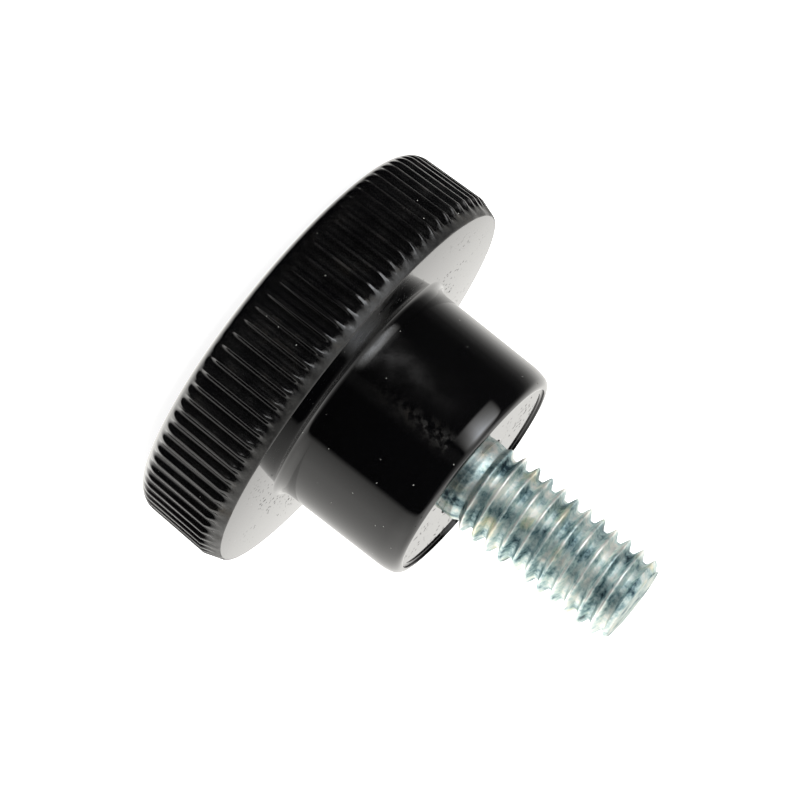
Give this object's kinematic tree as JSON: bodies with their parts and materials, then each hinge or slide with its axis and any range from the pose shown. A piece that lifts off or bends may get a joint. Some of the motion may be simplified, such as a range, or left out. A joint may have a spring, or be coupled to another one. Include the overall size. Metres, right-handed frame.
{
  "type": "knurled knob",
  "caption": "Round thumb knob with a fluted head, a plain hub and a threaded metal stud moulded into it.",
  "frame": {"origin": "centre of the flat of the crown, which the knob stands on", "axes": "+Z along the knob's axis, from the crown towards the tip of the stud"},
  "size_m": [0.0272, 0.0272, 0.0283],
  "materials": {
    "phenolic": "glossy as moulded",
    "zinc_steel": "bright zinc plate on rolled steel"
  },
  "bodies": {
    "root": {"knob_body": "phenolic", "threaded_stud": "zinc_steel"}
  },
  "joints": []
}
